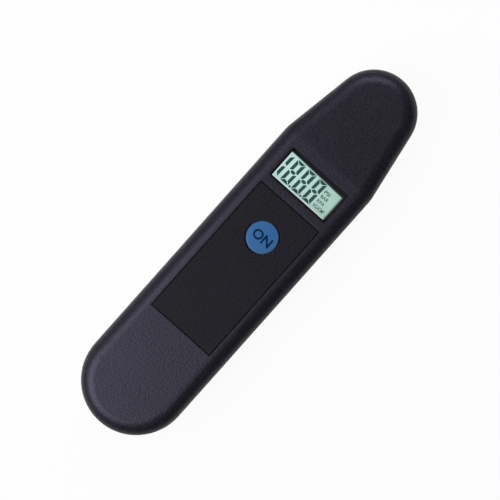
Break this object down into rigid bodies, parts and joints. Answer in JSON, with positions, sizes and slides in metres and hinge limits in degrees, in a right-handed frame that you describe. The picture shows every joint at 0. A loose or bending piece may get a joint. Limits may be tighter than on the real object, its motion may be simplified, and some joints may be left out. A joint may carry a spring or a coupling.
{
  "type": "digital tire pressure gauge",
  "caption": "Hand-held digital tire pressure gauge: moulded case with a tapered nose, recessed display, push button, valve nozzle under the nose and coin-slot battery cover.",
  "frame": {"origin": "under the middle of the gauge, on the plane of the back face that it lies on", "axes": "+X along the gauge to the nose, +Y across it, +Z out of the display face"},
  "size_m": [0.14, 0.0342, 0.0204],
  "materials": {
    "case_plastic": "fine-grained moulded plastic",
    "panel_film": "fine textured film",
    "button_plastic": "satin moulded plastic",
    "clear_plastic": "polished clear plastic",
    "display_glass": "pale green liquid crystal cell",
    "frame_plastic": "plain moulded plastic",
    "contact_rubber": "layered conductive rubber",
    "board_laminate": "solder-masked laminate",
    "chip_plastic": "black moulding compound",
    "component_ceramic": "ceramic and metal",
    "sensor_ceramic": "white ceramic",
    "switch_metal": "plated cover",
    "black_rubber": "smooth rubber",
    "brass": "turned",
    "cell_steel": "drawn stainless can",
    "contact_metal": "plated spring sheet",
    "screw_steel": "plated"
  },
  "bodies": {
    "gauge": {"front_shell": "case_plastic", "back_shell": "case_plastic", "face_panel": "panel_film", "switch_body": "switch_metal", "lcd_lens": "clear_plastic", "lcd_front_glass": "display_glass", "lcd_back_glass": "display_glass", "lcd_frame": "frame_plastic", "zebra_strips": "contact_rubber", "circuit_board": "board_laminate", "driver_chip": "chip_plastic", "board_components": "component_ceramic", "pressure_sensor": "sensor_ceramic", "sensor_o_ring": "black_rubber", "nozzle_body": "brass", "nozzle_nut": "brass", "valve_seal": "black_rubber", "depressor_pin": "brass", "coin_cell": "cell_steel", "positive_contact": "contact_metal", "negative_contact": "contact_metal", "case_screws": "screw_steel", "board_screws": "screw_steel"},
    "button": {"on_button": "button_plastic", "switch_plunger": "chip_plastic"},
    "battery_door": {"battery_cover": "case_plastic"}
  },
  "joints": [
    {"name": "button_press", "type": "slide", "parent": "gauge", "child": "button", "axis": [0, 0, -1], "range_m": [0, 0.0005], "stiffness_N_per_m": 2000},
    {"name": "battery_cover_turn", "type": "hinge", "parent": "gauge", "child": "battery_door", "pos_m": [-0.04, 0, 0], "axis": [0, 0, -1], "range_deg": [0, 60]}
  ]
}
